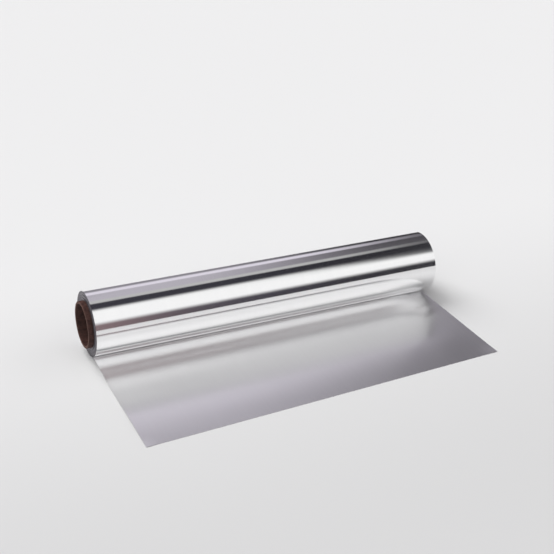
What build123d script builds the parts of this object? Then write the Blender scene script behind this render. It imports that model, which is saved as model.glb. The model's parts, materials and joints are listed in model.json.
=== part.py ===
from build123d import *
import math
import os

# A household roll of aluminium foil. It lies on a table, wound on a cardboard core, with its loose end pulled
# out of its underside and flat in front of it.
#
# +X runs along the roll, +Z is up and the loose end points to -Y. The origin is on the table, under the middle
# of the roll's axis. All sizes are in millimetres.

# The wound foil
FOIL_WIDTH = 300.0
ROLL_DIAMETER = 51.6
# The roll's own weight presses a narrow flat strip on its underside.
FLAT_WIDTH = 6.0
# Turns wander sideways as they are wound, so each end steps in and out. One value for each band of turns, from
# the core to the outside, where the last turn and the loose end are in line.
TURN_SHIFTS = (0.25, -0.15, 0.30, 0.05, -0.25, 0.20, -0.10, 0.0)

# The loose end, from under the axis to its cut edge, which runs askew
LEAF_LEFT_LENGTH = 134.6
LEAF_RIGHT_LENGTH = 120.8
# Real foil is about 0.01 thick. This keeps the loose end a sound solid.
LEAF_THICKNESS = 0.3

# The cardboard core
CORE_DIAMETER = 37.0
CORE_WALL = 2.0
CORE_OVERHANG = 4.0
# Radial room between the core and the first turn
CORE_CLEARANCE = 0.05

# Sizes that follow from those above
ROLL_RADIUS = ROLL_DIAMETER / 2
AXIS_HEIGHT = math.sqrt(ROLL_RADIUS ** 2 - (FLAT_WIDTH / 2) ** 2)
CORE_LENGTH = FOIL_WIDTH + 2 * CORE_OVERHANG


def wound_turns():
    """The wound strip as one body, whose two ends are stepped where bands of turns wandered the same way."""
    inner_radius = CORE_DIAMETER / 2 + CORE_CLEARANCE
    band = (ROLL_RADIUS - inner_radius) / len(TURN_SHIFTS)
    left_end = []
    right_end = []
    for index, shift in enumerate(TURN_SHIFTS):
        for radius in (inner_radius + index * band, inner_radius + (index + 1) * band):
            left_end.append((shift - FOIL_WIDTH / 2, radius))
            right_end.append((shift + FOIL_WIDTH / 2, radius))
    outline = Polyline(*left_end, *reversed(right_end), close=True)
    section = Plane.XZ * make_face(outline)
    turns = Pos(0, 0, AXIS_HEIGHT) * revolve(section, axis=Axis.X)
    return split(turns, bisect_by=Plane.XY, keep=Keep.TOP)


def loose_leaf():
    """The pulled-out end of the strip, flat on the table, from under the axis to its cut edge."""
    half_width = FOIL_WIDTH / 2
    corners = (
        (-half_width, 0),
        (half_width, 0),
        (half_width, -LEAF_RIGHT_LENGTH),
        (-half_width, -LEAF_LEFT_LENGTH),
    )
    return extrude(make_face(Polyline(*corners, close=True)), LEAF_THICKNESS, dir=(0, 0, 1))


def core_tube():
    """The cardboard tube, standing out by the same length at both ends of the foil."""
    along_x = Rot(0, 90, 0)
    tube = Cylinder(CORE_DIAMETER / 2, CORE_LENGTH) - Cylinder(CORE_DIAMETER / 2 - CORE_WALL, CORE_LENGTH)
    return Pos(0, 0, AXIS_HEIGHT) * along_x * tube


os.makedirs("parts", exist_ok=True)
export_step(wound_turns() + loose_leaf(), "parts/foil.step")
export_step(core_tube(), "parts/core.step")
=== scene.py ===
import json
import math

import bmesh
import bpy
import numpy as np
from mathutils import Matrix, Vector


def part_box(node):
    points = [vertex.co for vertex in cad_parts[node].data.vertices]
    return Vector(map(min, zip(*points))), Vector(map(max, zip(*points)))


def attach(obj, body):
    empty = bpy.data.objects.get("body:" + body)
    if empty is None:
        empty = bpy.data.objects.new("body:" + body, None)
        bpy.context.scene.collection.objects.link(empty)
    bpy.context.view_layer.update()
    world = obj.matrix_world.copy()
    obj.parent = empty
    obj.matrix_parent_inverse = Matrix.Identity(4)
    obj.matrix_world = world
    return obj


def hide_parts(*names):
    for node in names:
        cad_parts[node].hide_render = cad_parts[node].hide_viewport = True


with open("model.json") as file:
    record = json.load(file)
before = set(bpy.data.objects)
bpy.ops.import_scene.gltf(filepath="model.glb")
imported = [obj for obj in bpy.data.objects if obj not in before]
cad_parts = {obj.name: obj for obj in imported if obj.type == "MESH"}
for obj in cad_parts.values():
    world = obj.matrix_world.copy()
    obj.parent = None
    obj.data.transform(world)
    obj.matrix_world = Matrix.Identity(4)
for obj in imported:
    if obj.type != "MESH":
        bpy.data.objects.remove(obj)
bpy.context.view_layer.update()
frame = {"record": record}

# Sizes of the part in metres, from the frame, or else repeated from the part itself
MM = 0.001
foil_low, foil_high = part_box("foil")
core_low, core_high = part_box("core")
bore = next(mount for mount in frame["record"]["mounts"] if mount["name"] == "core_bore")

AXIS_Z = bore["pos_m"][2]
BORE_RADIUS = bore["dims"]["r_mm"] * MM
CORE_RADIUS = (core_high.y - core_low.y) / 2
CORE_HALF = core_high.x
CORE_CLEARANCE = 0.05 * MM
FIRST_TURN_RADIUS = CORE_RADIUS + CORE_CLEARANCE
ROLL_RADIUS = foil_high.y
FOIL_HALF = 150 * MM
LEAF_LEFT = -foil_low.y
LEAF_RIGHT = 120.8 * MM
# Sideways wander of the bands of turns in mm, from the core to the outside
TURN_SHIFTS = (0.25, -0.15, 0.30, 0.05, -0.25, 0.20, -0.10, 0.0)
# The shown leaf is thinner than its solid, and nearer to real foil.
LEAF_THICKNESS = 0.06 * MM

# The photograph's view, from a camera fitted to the outline at the object's size
IMAGE_PIXELS = 554
FOCAL_PIXELS = 1088.3
SENSOR_WIDTH = 36.0
CLIP_START = 0.01
VIEW_TARGET = Vector((42.79, 63.04, 0)) * MM
VIEW_DISTANCE = 972.9 * MM
VIEW_AZIMUTH = math.radians(-26.534)
VIEW_ELEVATION = math.radians(26.917)
VIEW_ROLL = math.radians(2.209)

# Studio
# A direction is told by its degrees up from the front horizon, over the roll and down to the back horizon,
# and by its sideways share, from -1 at the left to 1 at the right.
HALF_TURN = 180
PLAIN = (1.0, 1.0, 1.0)
LAVENDER = (1.0, 0.95, 1.06)
ROSE = (1.20, 0.84, 0.86)
SLATE = (0.94, 0.90, 1.16)
# The dark room and the wall behind, as (degrees, level, tint), on the left and on the right
ROOM_LEFT = (
    (0, 0.06, SLATE), (20, 0.08, SLATE), (77, 0.04, SLATE), (95, 0.04, SLATE), (104, 0.46, LAVENDER),
    (136, 0.46, LAVENDER), (143, 0.34, LAVENDER), (180, 0.22, LAVENDER),
)
ROOM_RIGHT = (
    (0, 0.02, SLATE), (94, 0.02, SLATE), (108, 0.07, LAVENDER), (145, 0.06, LAVENDER), (180, 0.03, LAVENDER),
)
# The left goes over into the right between these sideways shares.
ROOM_SIDES = (0.32, 0.50)
# Lights and screens in front of the room. Each has four degrees and four sideways shares: where it fades in,
# from and to, and where it fades out, from and to. Then come its level and its tint. The last column is how
# the upper edge comes down sideways, from one share to another and by so many degrees.
PANELS = (
    ("warm_glow", (-50, -40, 20, 28), (-1.2, -1.1, 0.22, 0.33), 0.22, ROSE, None),
    ("light_line", (94, 99, 105, 111), (-1.2, -1.1, 0.46, 0.52), 0.48, PLAIN, None),
    ("soft_box", (15, 31, 64, 78), (-0.6, -0.4, 0.58, 0.68), 0.92, PLAIN, (0.40, 0.53, 17)),
    ("left_screen", (15, 31, 66, 74), (-1.0, -0.8, 0.02, 0.20), 0.95, PLAIN, None),
    ("left_low_screen", (-25, -15, 15, 31), (-1.0, -0.8, -0.30, -0.12), 0.95, PLAIN, None),
    ("right_screen", (-25, -15, 66, 74), (0.58, 0.72, 1.1, 1.2), 0.95, PLAIN, None),
    ("left_ceiling", (66, 74, 118, 130), (-0.7, -0.5, -0.22, -0.06), 0.95, PLAIN, None),
    ("right_ceiling", (66, 74, 122, 132), (0.58, 0.72, 0.86, 1.0), 0.95, PLAIN, None),
    ("left_corner", (122, 130, 140, 146), (-1.2, -1.1, 0.10, 0.24), 0.06, LAVENDER, None),
    ("left_back_light", (128, 138, 165, 175), (-0.8, -0.6, -0.30, -0.12), 0.95, PLAIN, None),
    ("back_light", (136, 142, 152, 162), (0.05, 0.18, 0.42, 0.54), 0.72, LAVENDER, None),
)
LAMP_STRENGTH = 2.3
LAMP_ANGLE = math.radians(45)
LAMP_FROM = Vector((-0.3, 0.6, 0.8))
# Light bounces to and fro between the roll and the leaf in front of it.
LIGHT_BOUNCES = 24

# Floor
FLOOR_RADIUS = 30.0
FLOOR_SIDES = 96
FLOOR_GAP = 0.1 * MM
FLOOR_ROUGHNESS = 0.8
FLOOR_COLOUR = (0.76, 0.76, 0.76)
# Painted shade: the table top's colour is a little darker in front than behind, standing in for light that
# falls off towards the front, and changes between these places.
FLOOR_FRONT_SHADE_COLOUR = (0.62, 0.62, 0.62)
FLOOR_SHADE_SPAN = (-0.30, 0.15)

# Skins
SHEET = "OFBake"
SHARP_ANGLE = math.radians(40)

# Shape of the foil
WALL_STEPS = 240
FLAT_STEPS = 6
LEAF_STEPS = 100
WIDTH_STEPS = 150
RING_STEPS = 32
# Random ripples, as (seed, number, lengths across the strip, lengths along it), and their heights in mm
WALL_RIPPLES = (3, 7, (0.05, 0.25), (0.012, 0.05))
LEAF_RIPPLES = (5, 6, (0.15, 0.60), (0.02, 0.07))
WALL_RIPPLE = 0.015
LEAF_RIPPLE = 0.03
# The rippled wall stays at least this many mm inside the roll's radius.
WALL_INSET = 0.02
# The edges of the turns are uneven by so many mm.
RING_RIPPLE = 0.03
RING_SEED = 11
# The leaf is not quite flat: its low waves, as (share of the way from the nip to the cut edge, height in mm).
# The last point lies beyond the cut edge.
LEAF_WAVES = ((0.0, 0.0), (0.06, 3.5), (0.50, 0.1), (0.75, 0.9), (1.25, -0.9))
# The waves wander to and fro along the roll, by this share of the leaf's length.
WANDER = 0.012
WANDER_LENGTH = 0.34
WANDER_PHASE = 0.6
# The leaf's two front corners lift a little, as (how far the lift reaches in, height in mm).
LEFT_CORNER = (12 * MM, 0.3)
RIGHT_CORNER = (16 * MM, 0.4)
# Along its right edge the leaf lies flat, and just in front of the nip as well: how far in that reaches.
FLAT_EDGE = 45 * MM
FLAT_NIP = 4 * MM
# The leaf rises to this share of the height that is free under the roll, at most.
LEAF_FREEDOM = 0.97
# Materials of the foil's faces, and strips of the sheet for its sides
BRIGHT, SATIN, EDGES = range(3)
WALL_STRIP = (0.00, 0.30)
TOP_STRIP = (0.31, 0.56)
FRONT_CUT_STRIP = (0.563, 0.566)
LEFT_LEAF_STRIP = (0.568, 0.571)
RIGHT_LEAF_STRIP = (0.573, 0.576)
UNDER_STRIP = (0.58, 0.83)
LEFT_END_STRIP = (0.84, 0.90)
RIGHT_END_STRIP = (0.91, 0.97)
HOLE_STRIP = (0.98, 1.00)

# Noise has this much detail unless told otherwise, and lies mostly between these values.
NOISE_DETAIL = 2.0
NOISE_RANGE = (0.3, 0.7)

# Looks of the foil
FOIL_PALE = (0.990, 0.990, 0.993)
FOIL_DARK = (0.975, 0.974, 0.979)
BRIGHT_ROUGHNESS = 0.12
BRIGHT_ANISOTROPY = 0.75
BRIGHT_RELIEF = 0.0004 * MM
SATIN_ROUGHNESS = 0.28
SATIN_ANISOTROPY = 0.88
SATIN_RELIEF = 0.0008 * MM
ROUGHNESS_SPREAD = 0.01
# Rolling lines along the strip: how many per metre across it, how much slower they change along it, and how
# many of them a broad one takes up
LINES_PER_METRE = 420.0
LINE_STRETCH = 0.012
LINE_DETAIL = 4.0
LINE_CONTRAST = (0.15, 0.38)
BROAD_LINE = 8
# Edges of the turns, with their rings per metre
EDGE_PALE = (0.34, 0.32, 0.35)
EDGE_DARK = (0.06, 0.057, 0.065)
EDGE_CONTRAST = (0.12, 0.40)
EDGE_ROUGHNESS = (0.34, 0.50)
EDGE_RELIEF = 0.05 * MM
FINE_RINGS = 2600.0
BROAD_RINGS = 500.0

# Shape of the core
CORE_TURN_STEPS = 192
CORE_LENGTH_STEPS = 72
PLY_STEPS = 10
# The board is wound in a spiral, and its edges meet in a seam.
SEAM_PITCH = 95 * MM
SEAM_DEPTH = 0.22 * MM
SEAM_WIDTH = 0.7 * MM
RIM_ROUNDING = 0.25 * MM
# The cut ends are uneven, and every other ply is cut less deep.
CUT_DEPTH = 0.15 * MM
SHALLOW_SHARE = 0.3
CUT_SEED = 17
# Materials of the core's faces, and strips of the sheet for its sides
BOARD, CUT_END = range(2)
OUTER_STRIP = (0.00, 0.40)
INNER_STRIP = (0.42, 0.82)
RIGHT_CUT_STRIP = (0.84, 0.90)
LEFT_CUT_STRIP = (0.92, 0.98)

# Looks of the core, with its blotches, fibres and plies per metre
BOARD_PALE = (0.097, 0.045, 0.036)
BOARD_DARK = (0.042, 0.019, 0.016)
BOARD_CONTRAST = (0.12, 0.40)
BOARD_ROUGHNESS = (0.82, 0.95)
BOARD_RELIEF = 0.12 * MM
BOARD_DETAIL = 3.0
BLOTCHES = 260.0
FIBRES = 1500.0
FIBRE_STRETCH = (0.25, 1, 1)
CUT_PALE = (0.175, 0.092, 0.072)
CUT_DARK = (0.045, 0.022, 0.018)
CUT_CONTRAST = (0.14, 0.36)
CUT_ROUGHNESS = (0.85, 0.97)
CUT_RELIEF = 0.15 * MM
CUT_PLIES = 2200.0
CUT_FIBRES = 1800.0


def add_camera():
    """A camera at the photograph's viewing angle and distance."""
    back = Vector((
        math.sin(VIEW_AZIMUTH) * math.cos(VIEW_ELEVATION),
        -math.cos(VIEW_AZIMUTH) * math.cos(VIEW_ELEVATION),
        math.sin(VIEW_ELEVATION),
    ))
    level = (-back).to_track_quat("-Z", "Y").to_matrix().to_4x4()
    data = bpy.data.cameras.new("camera")
    data.sensor_width = SENSOR_WIDTH
    data.lens = SENSOR_WIDTH * FOCAL_PIXELS / IMAGE_PIXELS
    data.clip_start = CLIP_START
    camera = bpy.data.objects.new("camera", data)
    place = Matrix.Translation(VIEW_TARGET + back * VIEW_DISTANCE)
    camera.matrix_world = place @ level @ Matrix.Rotation(VIEW_ROLL, 4, "Z")
    bpy.context.scene.collection.objects.link(camera)
    bpy.context.scene.camera = camera


# Shader nodes

def add_node(tree, kind, **settings):
    """A new node with its settings."""
    node = tree.nodes.new("ShaderNode" + kind)
    for name, value in settings.items():
        setattr(node, name, value)
    return node


def new_material(name):
    """A material with only its Principled shader, and its node tree."""
    material = bpy.data.materials.new(name)
    material.use_nodes = True
    tree = material.node_tree
    return material, tree, tree.nodes["Principled BSDF"]


def coordinates(tree, kind):
    """X, Y and Z of one kind of coordinates."""
    place = add_node(tree, "TexCoord")
    axes = add_node(tree, "SeparateXYZ")
    tree.links.new(place.outputs[kind], axes.inputs["Vector"])
    return axes.outputs["X"], axes.outputs["Y"], axes.outputs["Z"]


def blend(tree, share, first, second):
    """A colour between two colours, each a value or the output of a node."""
    mix = add_node(tree, "Mix", data_type="RGBA")
    tree.links.new(share, mix.inputs["Factor"])
    for name, colour in (("A", first), ("B", second)):
        if isinstance(colour, tuple):
            mix.inputs[name].default_value = (*colour, 1)
        else:
            tree.links.new(colour, mix.inputs[name])
    return mix.outputs["Result"]


def remap(tree, value, low, high, to_low=0.0, to_high=1.0):
    """A smooth step of a value from one range to another."""
    node = add_node(tree, "MapRange", interpolation_type="SMOOTHSTEP")
    settings = {"From Min": low, "From Max": high, "To Min": to_low, "To Max": to_high}
    for name, setting in settings.items():
        node.inputs[name].default_value = setting
    tree.links.new(value, node.inputs["Value"])
    return node.outputs["Result"]


def calculate(tree, operation, value, other):
    """The result for two numbers, each a value or the output of a node."""
    node = add_node(tree, "Math", operation=operation)
    for socket, number in zip(node.inputs, (value, other)):
        if isinstance(number, (int, float)):
            socket.default_value = number
        else:
            tree.links.new(number, socket)
    return node.outputs[0]


def noise(tree, scale, detail=NOISE_DETAIL, stretch=(1, 1, 1)):
    """Noise in the object's own coordinates, with its features per metre, finer along the stretched axes."""
    place = add_node(tree, "TexCoord")
    mapping = add_node(tree, "Mapping")
    mapping.inputs["Scale"].default_value = stretch
    tree.links.new(place.outputs["Object"], mapping.inputs["Vector"])
    texture = add_node(tree, "TexNoise")
    texture.inputs["Scale"].default_value = scale
    texture.inputs["Detail"].default_value = detail
    tree.links.new(mapping.outputs["Vector"], texture.inputs["Vector"])
    return texture.outputs["Fac"]


def axis_distance(tree):
    """The distance from the roll's axis."""
    _, y, z = coordinates(tree, "Object")
    height = calculate(tree, "SUBTRACT", z, AXIS_Z)
    across = calculate(tree, "POWER", y, 2)
    upward = calculate(tree, "POWER", height, 2)
    return calculate(tree, "SQRT", calculate(tree, "ADD", across, upward), 0)


def rings(tree, scale):
    """Random rings around the roll's axis, so many per metre of radius."""
    texture = add_node(tree, "TexNoise", noise_dimensions="1D")
    texture.inputs["Scale"].default_value = scale
    texture.inputs["Detail"].default_value = NOISE_DETAIL
    tree.links.new(axis_distance(tree), texture.inputs["W"])
    return texture.outputs["Fac"]


def add_colours(tree, shader, pattern, contrast, dark, pale):
    """A base colour that goes from dark to pale with a pattern."""
    colour = blend(tree, remap(tree, pattern, *contrast), dark, pale)
    tree.links.new(colour, shader.inputs["Base Color"])


def add_roughness(tree, shader, pattern, low, high):
    """A roughness that goes from low to high with a pattern of noise."""
    roughness = remap(tree, pattern, *NOISE_RANGE, low, high)
    tree.links.new(roughness, shader.inputs["Roughness"])


def add_bump(tree, shader, height, depth):
    """Fine relief, with the depth of its full range in metres."""
    bump = add_node(tree, "Bump")
    bump.inputs["Distance"].default_value = depth
    tree.links.new(height, bump.inputs["Height"])
    tree.links.new(bump.outputs["Normal"], shader.inputs["Normal"])


# Studio and floor

def tinted(level, tint):
    """A colour of so much light."""
    return tuple(level * part for part in tint)


def room_ramp(tree, angle, stops):
    """The room's colours over half a turn."""
    ramp = add_node(tree, "ValToRGB")
    elements = ramp.color_ramp.elements
    while len(elements) < len(stops):
        elements.new(0.5)
    for element, (degrees, level, tint) in zip(elements, stops):
        element.position = degrees / HALF_TURN
        element.color = (*tinted(level, tint), 1)
    tree.links.new(calculate(tree, "DIVIDE", angle, HALF_TURN), ramp.inputs["Fac"])
    return ramp.outputs["Color"]


def panel_share(tree, angle, side, degrees, sideways, slant):
    """How much of a direction lies on a panel: 1 on it, 0 beside it."""
    upper = angle
    if slant:
        start, end, drop = slant
        upper = calculate(tree, "ADD", angle, remap(tree, side, start, end, 0, drop))
    edges = (
        remap(tree, angle, degrees[0], degrees[1]),
        remap(tree, upper, degrees[2], degrees[3], 1, 0),
        remap(tree, side, sideways[0], sideways[1]),
        remap(tree, side, sideways[2], sideways[3], 1, 0),
    )
    share = edges[0]
    for edge in edges[1:]:
        share = calculate(tree, "MULTIPLY", share, edge)
    return share


def light_studio():
    """A dark room with a grey wall behind, a soft box, screens on both sides and lights on the wall."""
    scene = bpy.context.scene
    scene.world = bpy.data.worlds.new("studio")
    scene.world.use_nodes = True
    tree = scene.world.node_tree
    side, back, up = coordinates(tree, "Generated")
    front = calculate(tree, "MULTIPLY", back, -1)
    angle = calculate(tree, "DEGREES", calculate(tree, "ARCTAN2", up, front), 0)
    rooms = [room_ramp(tree, angle, stops) for stops in (ROOM_LEFT, ROOM_RIGHT)]
    colour = blend(tree, remap(tree, side, *ROOM_SIDES), *rooms)
    for name, degrees, sideways, level, tint, slant in PANELS:
        share = panel_share(tree, angle, side, degrees, sideways, slant)
        colour = blend(tree, share, colour, tinted(level, tint))
        colour.node.label = name
    tree.links.new(colour, tree.nodes["Background"].inputs["Color"])
    scene.view_settings.view_transform = "Standard"
    scene.cycles.max_bounces = LIGHT_BOUNCES
    scene.cycles.glossy_bounces = LIGHT_BOUNCES


def add_lamp():
    """A broad lamp over the back left, for the floor and the board. The foil doesn't mirror it."""
    lamp = bpy.data.lights.new("overhead_lamp", "SUN")
    lamp.angle = LAMP_ANGLE
    lamp.energy = LAMP_STRENGTH
    light = bpy.data.objects.new("overhead_lamp", lamp)
    light.rotation_euler = LAMP_FROM.to_track_quat("Z", "Y").to_euler()
    light.visible_glossy = False
    bpy.context.scene.collection.objects.link(light)


def add_floor():
    """A pale table top with painted shade towards the front, a little below the foil's underside."""
    material, tree, shader = new_material("table_top")
    _, y, _ = coordinates(tree, "Object")
    # Painted shade: the floor's colour grows darker towards the front, in place of light falling off.
    add_colours(tree, shader, y, FLOOR_SHADE_SPAN, FLOOR_FRONT_SHADE_COLOUR, FLOOR_COLOUR)
    shader.inputs["Roughness"].default_value = FLOOR_ROUGHNESS
    shader.inputs["Specular IOR Level"].default_value = 0.0
    mesh = bpy.data.meshes.new("floor")
    shape = bmesh.new()
    bmesh.ops.create_circle(shape, cap_ends=True, segments=FLOOR_SIDES, radius=FLOOR_RADIUS)
    shape.to_mesh(mesh)
    shape.free()
    mesh.materials.append(material)
    floor = bpy.data.objects.new("floor", mesh)
    floor.location.z = -FLOOR_GAP
    bpy.context.scene.collection.objects.link(floor)


# Skins

class Skin:
    """A closed skin in the making. Each face also has a place on a flat sheet, on the strip of its side."""

    def __init__(self):
        self.points = []
        self.faces = []
        self.slots = []
        self.spots = []

    def add_row(self, row):
        """Adds a row of points and gives their numbers."""
        first = len(self.points)
        self.points.extend(row)
        return list(range(first, len(self.points)))

    def bridge(self, one, two, slot, place):
        """Faces between two rows. The place takes a share along the rows, and 0 or 1 for the row."""
        count = len(one) - 1
        for n in range(count):
            self.faces.append((one[n], one[n + 1], two[n + 1], two[n]))
            self.slots.append(slot)
            for share, row in ((n, 0), (n + 1, 0), (n + 1, 1), (n, 1)):
                self.spots.append(place(share / count, row))

    def bridge_rings(self, one, two, slot, place):
        """Faces between two rows that close to rings."""
        self.bridge(one + one[:1], two + two[:1], slot, place)

    def finish(self, name, materials):
        """The object, with its faces turned outwards."""
        mesh = bpy.data.meshes.new(name)
        mesh.from_pydata([tuple(point) for point in self.points], [], self.faces)
        for material in materials:
            mesh.materials.append(material)
        mesh.polygons.foreach_set("material_index", self.slots)
        mesh.polygons.foreach_set("use_smooth", [True] * len(self.faces))
        sheet = mesh.uv_layers.new(name=SHEET)
        sheet.data.foreach_set("uv", np.array(self.spots, dtype=np.float32).ravel())
        shape = bmesh.new()
        shape.from_mesh(mesh)
        bmesh.ops.recalc_face_normals(shape, faces=shape.faces)
        shape.to_mesh(mesh)
        shape.free()
        mesh.set_sharp_from_angle(angle=SHARP_ANGLE)
        piece = bpy.data.objects.new(name, mesh)
        bpy.context.scene.collection.objects.link(piece)
        return piece


def along_strip(strip, first, second):
    """Places on the sheet for faces between two stations along the roll, with a row's points up the strip."""
    low, high = strip
    return lambda share, row: ((first, second)[row], low + (high - low) * share)


def around_strip(strip, first, second):
    """Places on the sheet for faces between two rings, with a ring's points along the strip."""
    low, high = strip
    return lambda share, row: (share, low + (high - low) * (first, second)[row])


# Foil

def leaf_length(x):
    """The leaf's length at a place along the roll: its cut edge runs askew."""
    share = (x + FOIL_HALF) / (2 * FOIL_HALF)
    return LEAF_LEFT + (LEAF_RIGHT - LEAF_LEFT) * share


def random_waves(seed, count, lengths_across, lengths_along):
    """Random waves, with their lengths across and along the strip between limits, a phase and a slant."""
    random = np.random.default_rng(seed)
    waves = []
    for _ in range(count):
        across = random.uniform(*lengths_across)
        along = random.uniform(*lengths_along)
        phase = random.uniform(0, 2 * math.pi)
        slant = random.choice((-1, 1))
        waves.append((across, along, phase, slant))
    return waves


def ripple(x, distance, waves):
    """The mean of the waves at points along the strip, from 0 to 1."""
    total = 0.0
    for across, along, phase, slant in waves:
        total = total + np.sin(2 * math.pi * (slant * x / across + distance / along) + phase)
    return (1 + total / len(waves)) / 2


def ease(way):
    """A soft rise from 0 to 1."""
    return (1 - np.cos(math.pi * np.clip(way, 0, 1))) / 2


def leaf_height(x, share, distance, waves):
    """The height of the leaf's underside over the table."""
    wander = WANDER * math.sin(2 * math.pi * x / WANDER_LENGTH + WANDER_PHASE)
    moved = np.clip(share + wander * np.sin(math.pi * share), 0, 1)
    height = LEAF_RIPPLE * ripple(x, distance, waves)
    inwards = ease((FOIL_HALF - x) / FLAT_EDGE)
    for (start, low), (end, high) in zip(LEAF_WAVES, LEAF_WAVES[1:]):
        height = height + inwards * (high - low) * ease((moved - start) / (end - start))
    for edge, (reach, lift) in ((-FOIL_HALF, LEFT_CORNER), (FOIL_HALF, RIGHT_CORNER)):
        gap = np.hypot(x - edge, distance - distance[-1])
        height = height + lift * np.clip(1 - gap / reach, 0, 1) ** 2
    return height * np.clip(distance / FLAT_NIP, 0, 1) * MM


def foil_section(x, wall_waves, leaf_waves):
    """The strip's outline at a place along the roll: its wall, the leaf's top and underside, and the flat."""
    flat_half = math.sqrt(ROLL_RADIUS ** 2 - AXIS_Z ** 2)
    start = math.asin(flat_half / ROLL_RADIUS)
    nip = math.acos((AXIS_Z - LEAF_THICKNESS) / ROLL_RADIUS)
    nip_y = -ROLL_RADIUS * math.sin(nip)
    turn = np.linspace(start, 2 * math.pi - nip, WALL_STEPS + 1)
    inset = WALL_INSET + WALL_RIPPLE * ripple(x, turn * ROLL_RADIUS, wall_waves)
    radius = ROLL_RADIUS - inset * MM
    wall = np.stack([radius * np.sin(turn), AXIS_Z - radius * np.cos(turn)], 1)
    wall[0] = (flat_half, 0)
    wall[-1] = (nip_y, LEAF_THICKNESS)
    share = np.linspace(0, 1, LEAF_STEPS + 1)
    distance = (leaf_length(x) + nip_y) * share
    below_roll = AXIS_Z - np.sqrt(np.clip(ROLL_RADIUS ** 2 - (nip_y - distance) ** 2, 0, None))
    height = np.minimum(leaf_height(x, share, distance, leaf_waves), LEAF_FREEDOM * below_roll)
    top = np.stack([nip_y - distance, height + LEAF_THICKNESS], 1)
    under = np.stack([nip_y - distance, height], 1)
    flat_y = np.linspace(nip_y, flat_half, FLAT_STEPS + 1)[1:-1]
    flat = np.stack([flat_y, np.zeros_like(flat_y)], 1)
    outline = np.concatenate([wall, top[1:], under[::-1], flat])
    return np.column_stack([np.full(len(outline), x), outline])


def wound_end(skin, outer, sign, strip, random):
    """The stacked edges of the turns at one end, ring by ring from the outside to the first turn."""
    rim = np.array([skin.points[n] for n in outer])
    away = rim[:, 1:] - (0, AXIS_Z)
    reach = np.linalg.norm(away, axis=1, keepdims=True)
    before = outer
    for step in range(1, RING_STEPS + 1):
        inward = step / RING_STEPS
        band = min(int((1 - inward) * len(TURN_SHIFTS)), len(TURN_SHIFTS) - 1)
        shift = (TURN_SHIFTS[band] - sign * random.uniform(0, RING_RIPPLE)) * MM
        radius = reach + (FIRST_TURN_RADIUS - reach) * inward
        spots = away / reach * radius + (0, AXIS_Z)
        here = skin.add_row(np.column_stack([np.full(len(outer), sign * FOIL_HALF + shift), spots]))
        place = around_strip(strip, (step - 1) / RING_STEPS, inward)
        skin.bridge_rings(before, here, EDGES, place)
        before = here
    return before


def add_foil(materials):
    """The strip as one closed skin: the roll's outside, the leaf's sides, the wound edges and the hole."""
    wall_waves = random_waves(*WALL_RIPPLES)
    leaf_waves = random_waves(*LEAF_RIPPLES)
    skin = Skin()
    xs = np.linspace(-FOIL_HALF, FOIL_HALF, WIDTH_STEPS + 1)
    rows = [skin.add_row(foil_section(x, wall_waves, leaf_waves)) for x in xs]
    nip = WALL_STEPS
    cut = nip + LEAF_STEPS
    under = cut + 1
    back = under + LEAF_STEPS
    for n, (one, two) in enumerate(zip(rows, rows[1:])):
        first = n / WIDTH_STEPS
        second = (n + 1) / WIDTH_STEPS
        for start, end, slot, strip in (
            (0, nip, BRIGHT, WALL_STRIP), (nip, cut, SATIN, TOP_STRIP), (cut, under, BRIGHT, FRONT_CUT_STRIP)
        ):
            skin.bridge(one[start:end + 1], two[start:end + 1], slot, along_strip(strip, first, second))
        below_one = one[under:] + one[:1]
        below_two = two[under:] + two[:1]
        skin.bridge(below_one, below_two, BRIGHT, along_strip(UNDER_STRIP, first, second))
    random = np.random.default_rng(RING_SEED)
    first_turns = []
    for row, sign, end_strip, leaf_strip in (
        (rows[0], -1, LEFT_END_STRIP, LEFT_LEAF_STRIP), (rows[-1], 1, RIGHT_END_STRIP, RIGHT_LEAF_STRIP)
    ):
        first_turns.append(wound_end(skin, row[:nip + 1] + row[back:], sign, end_strip, random))
        skin.bridge(row[nip:cut + 1], row[under:back + 1][::-1], BRIGHT, around_strip(leaf_strip, 0, 1))
    skin.bridge_rings(*first_turns, EDGES, around_strip(HOLE_STRIP, 0, 1))
    return skin.finish("foil_roll", materials)


def rolled_metal(name, roughness, anisotropy, relief):
    """Rolled aluminium, with hair-fine lines along the strip that scatter light across it."""
    material, tree, shader = new_material(name)
    stretch = (1, LINE_STRETCH, LINE_STRETCH)
    fine = noise(tree, LINES_PER_METRE, LINE_DETAIL, stretch)
    broad = noise(tree, LINES_PER_METRE / BROAD_LINE, NOISE_DETAIL, stretch)
    lines = calculate(tree, "MULTIPLY", fine, broad)
    smoother = roughness * (1 - ROUGHNESS_SPREAD)
    rougher = roughness * (1 + ROUGHNESS_SPREAD)
    add_colours(tree, shader, lines, LINE_CONTRAST, FOIL_DARK, FOIL_PALE)
    add_roughness(tree, shader, fine, smoother, rougher)
    add_bump(tree, shader, fine, relief)
    shader.inputs["Metallic"].default_value = 1.0
    shader.inputs["Anisotropic"].default_value = anisotropy
    tangent = add_node(tree, "Tangent", direction_type="UV_MAP", uv_map=SHEET)
    tree.links.new(tangent.outputs["Tangent"], shader.inputs["Tangent"])
    return material


def wound_edges():
    """The stacked edges of the turns: fine rings, some bright and some in shade."""
    material, tree, shader = new_material("wound_edges")
    fine = rings(tree, FINE_RINGS)
    broad = rings(tree, BROAD_RINGS)
    lines = calculate(tree, "MULTIPLY", fine, broad)
    add_colours(tree, shader, lines, EDGE_CONTRAST, EDGE_DARK, EDGE_PALE)
    add_roughness(tree, shader, fine, *EDGE_ROUGHNESS)
    add_bump(tree, shader, fine, EDGE_RELIEF)
    shader.inputs["Metallic"].default_value = 1.0
    return material


# Core

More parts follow.
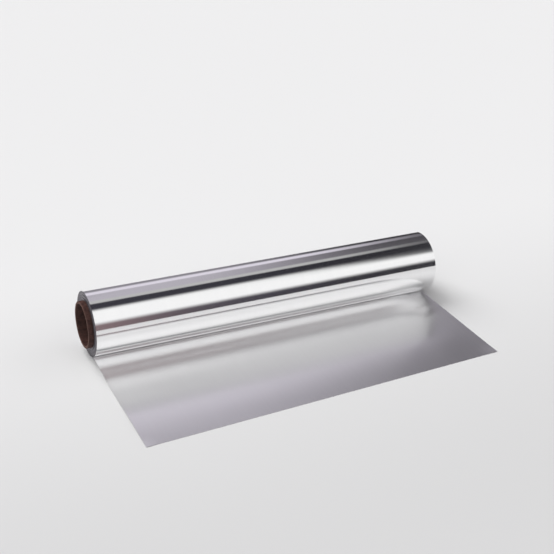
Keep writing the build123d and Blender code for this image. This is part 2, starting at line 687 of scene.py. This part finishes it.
def core_ring(x, radius, groove):
    """A ring of points on the core. It turns with the spiral, so that the seam stays at its first point."""
    around = np.linspace(0, 2 * math.pi, CORE_TURN_STEPS, endpoint=False)
    away = np.minimum(around, 2 * math.pi - around) * radius
    reach = radius + groove * np.exp(-(away / SEAM_WIDTH) ** 2)
    turn = around + 2 * math.pi * x / SEAM_PITCH
    return np.column_stack([np.full(CORE_TURN_STEPS, x), reach * np.cos(turn), AXIS_Z + reach * np.sin(turn)])


def core_end(skin, one, two, sign, strip, random):
    """The cut end between the outer and the inner wall: plies with an uneven cut, and softened rims."""
    before = one
    plies = np.linspace(CORE_RADIUS, BORE_RADIUS, PLY_STEPS + 1)[1:-1]
    for step, radius in enumerate(plies, 1):
        ring = core_ring(sign * CORE_HALF, radius, 0)
        uneven = random.uniform(0, CUT_DEPTH, CORE_TURN_STEPS)
        uneven = (uneven + np.roll(uneven, 1) + np.roll(uneven, 2)) / 3
        ring[:, 0] -= sign * (uneven * (step % 2 + SHALLOW_SHARE))
        here = skin.add_row(ring)
        place = around_strip(strip, (step - 1) / PLY_STEPS, step / PLY_STEPS)
        skin.bridge_rings(before, here, CUT_END, place)
        before = here
    skin.bridge_rings(before, two, CUT_END, around_strip(strip, 1 - 1 / PLY_STEPS, 1))


def add_core(materials):
    """The cardboard tube as one closed skin, with closer rings towards its ends."""
    skin = Skin()
    share = np.linspace(-1, 1, CORE_LENGTH_STEPS + 1)
    half = CORE_HALF - RIM_ROUNDING
    xs = half * np.sign(share) * (1 - (1 - np.abs(share)) ** 2)
    outer = [skin.add_row(core_ring(x, CORE_RADIUS, -SEAM_DEPTH)) for x in xs]
    inner = [skin.add_row(core_ring(x, BORE_RADIUS, SEAM_DEPTH)) for x in xs]
    for walls, strip in ((outer, OUTER_STRIP), (inner, INNER_STRIP)):
        for n, (one, two) in enumerate(zip(walls, walls[1:])):
            place = around_strip(strip, n / CORE_LENGTH_STEPS, (n + 1) / CORE_LENGTH_STEPS)
            skin.bridge_rings(one, two, BOARD, place)
    random = np.random.default_rng(CUT_SEED)
    core_end(skin, outer[-1], inner[-1], 1, RIGHT_CUT_STRIP, random)
    core_end(skin, outer[0], inner[0], -1, LEFT_CUT_STRIP, random)
    return skin.finish("core_tube", materials)


def core_board():
    """Brown recycled board: blotches and short fibres."""
    material, tree, shader = new_material("core_board")
    blotches = noise(tree, BLOTCHES, BOARD_DETAIL)
    fibres = noise(tree, FIBRES, BOARD_DETAIL, FIBRE_STRETCH)
    both = calculate(tree, "MULTIPLY", blotches, fibres)
    add_colours(tree, shader, both, BOARD_CONTRAST, BOARD_DARK, BOARD_PALE)
    add_roughness(tree, shader, fibres, *BOARD_ROUGHNESS)
    add_bump(tree, shader, both, BOARD_RELIEF)
    return material


def core_cut_end():
    """The core's cut ends: thin plies with dark glue lines, and a rough cut."""
    material, tree, shader = new_material("core_cut_end")
    plies = rings(tree, CUT_PLIES)
    fibres = noise(tree, CUT_FIBRES, BOARD_DETAIL)
    both = calculate(tree, "MULTIPLY", plies, fibres)
    add_colours(tree, shader, both, CUT_CONTRAST, CUT_DARK, CUT_PALE)
    add_roughness(tree, shader, fibres, *CUT_ROUGHNESS)
    add_bump(tree, shader, both, CUT_RELIEF)
    return material


# The scene

add_camera()
light_studio()
add_lamp()
add_floor()

foil = add_foil([
    rolled_metal("foil_bright_side", BRIGHT_ROUGHNESS, BRIGHT_ANISOTROPY, BRIGHT_RELIEF),
    rolled_metal("foil_satin_side", SATIN_ROUGHNESS, SATIN_ANISOTROPY, SATIN_RELIEF),
    wound_edges(),
])
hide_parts("foil")
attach(foil, "root")

core = add_core([core_board(), core_cut_end()])
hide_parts("core")
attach(core, "root")
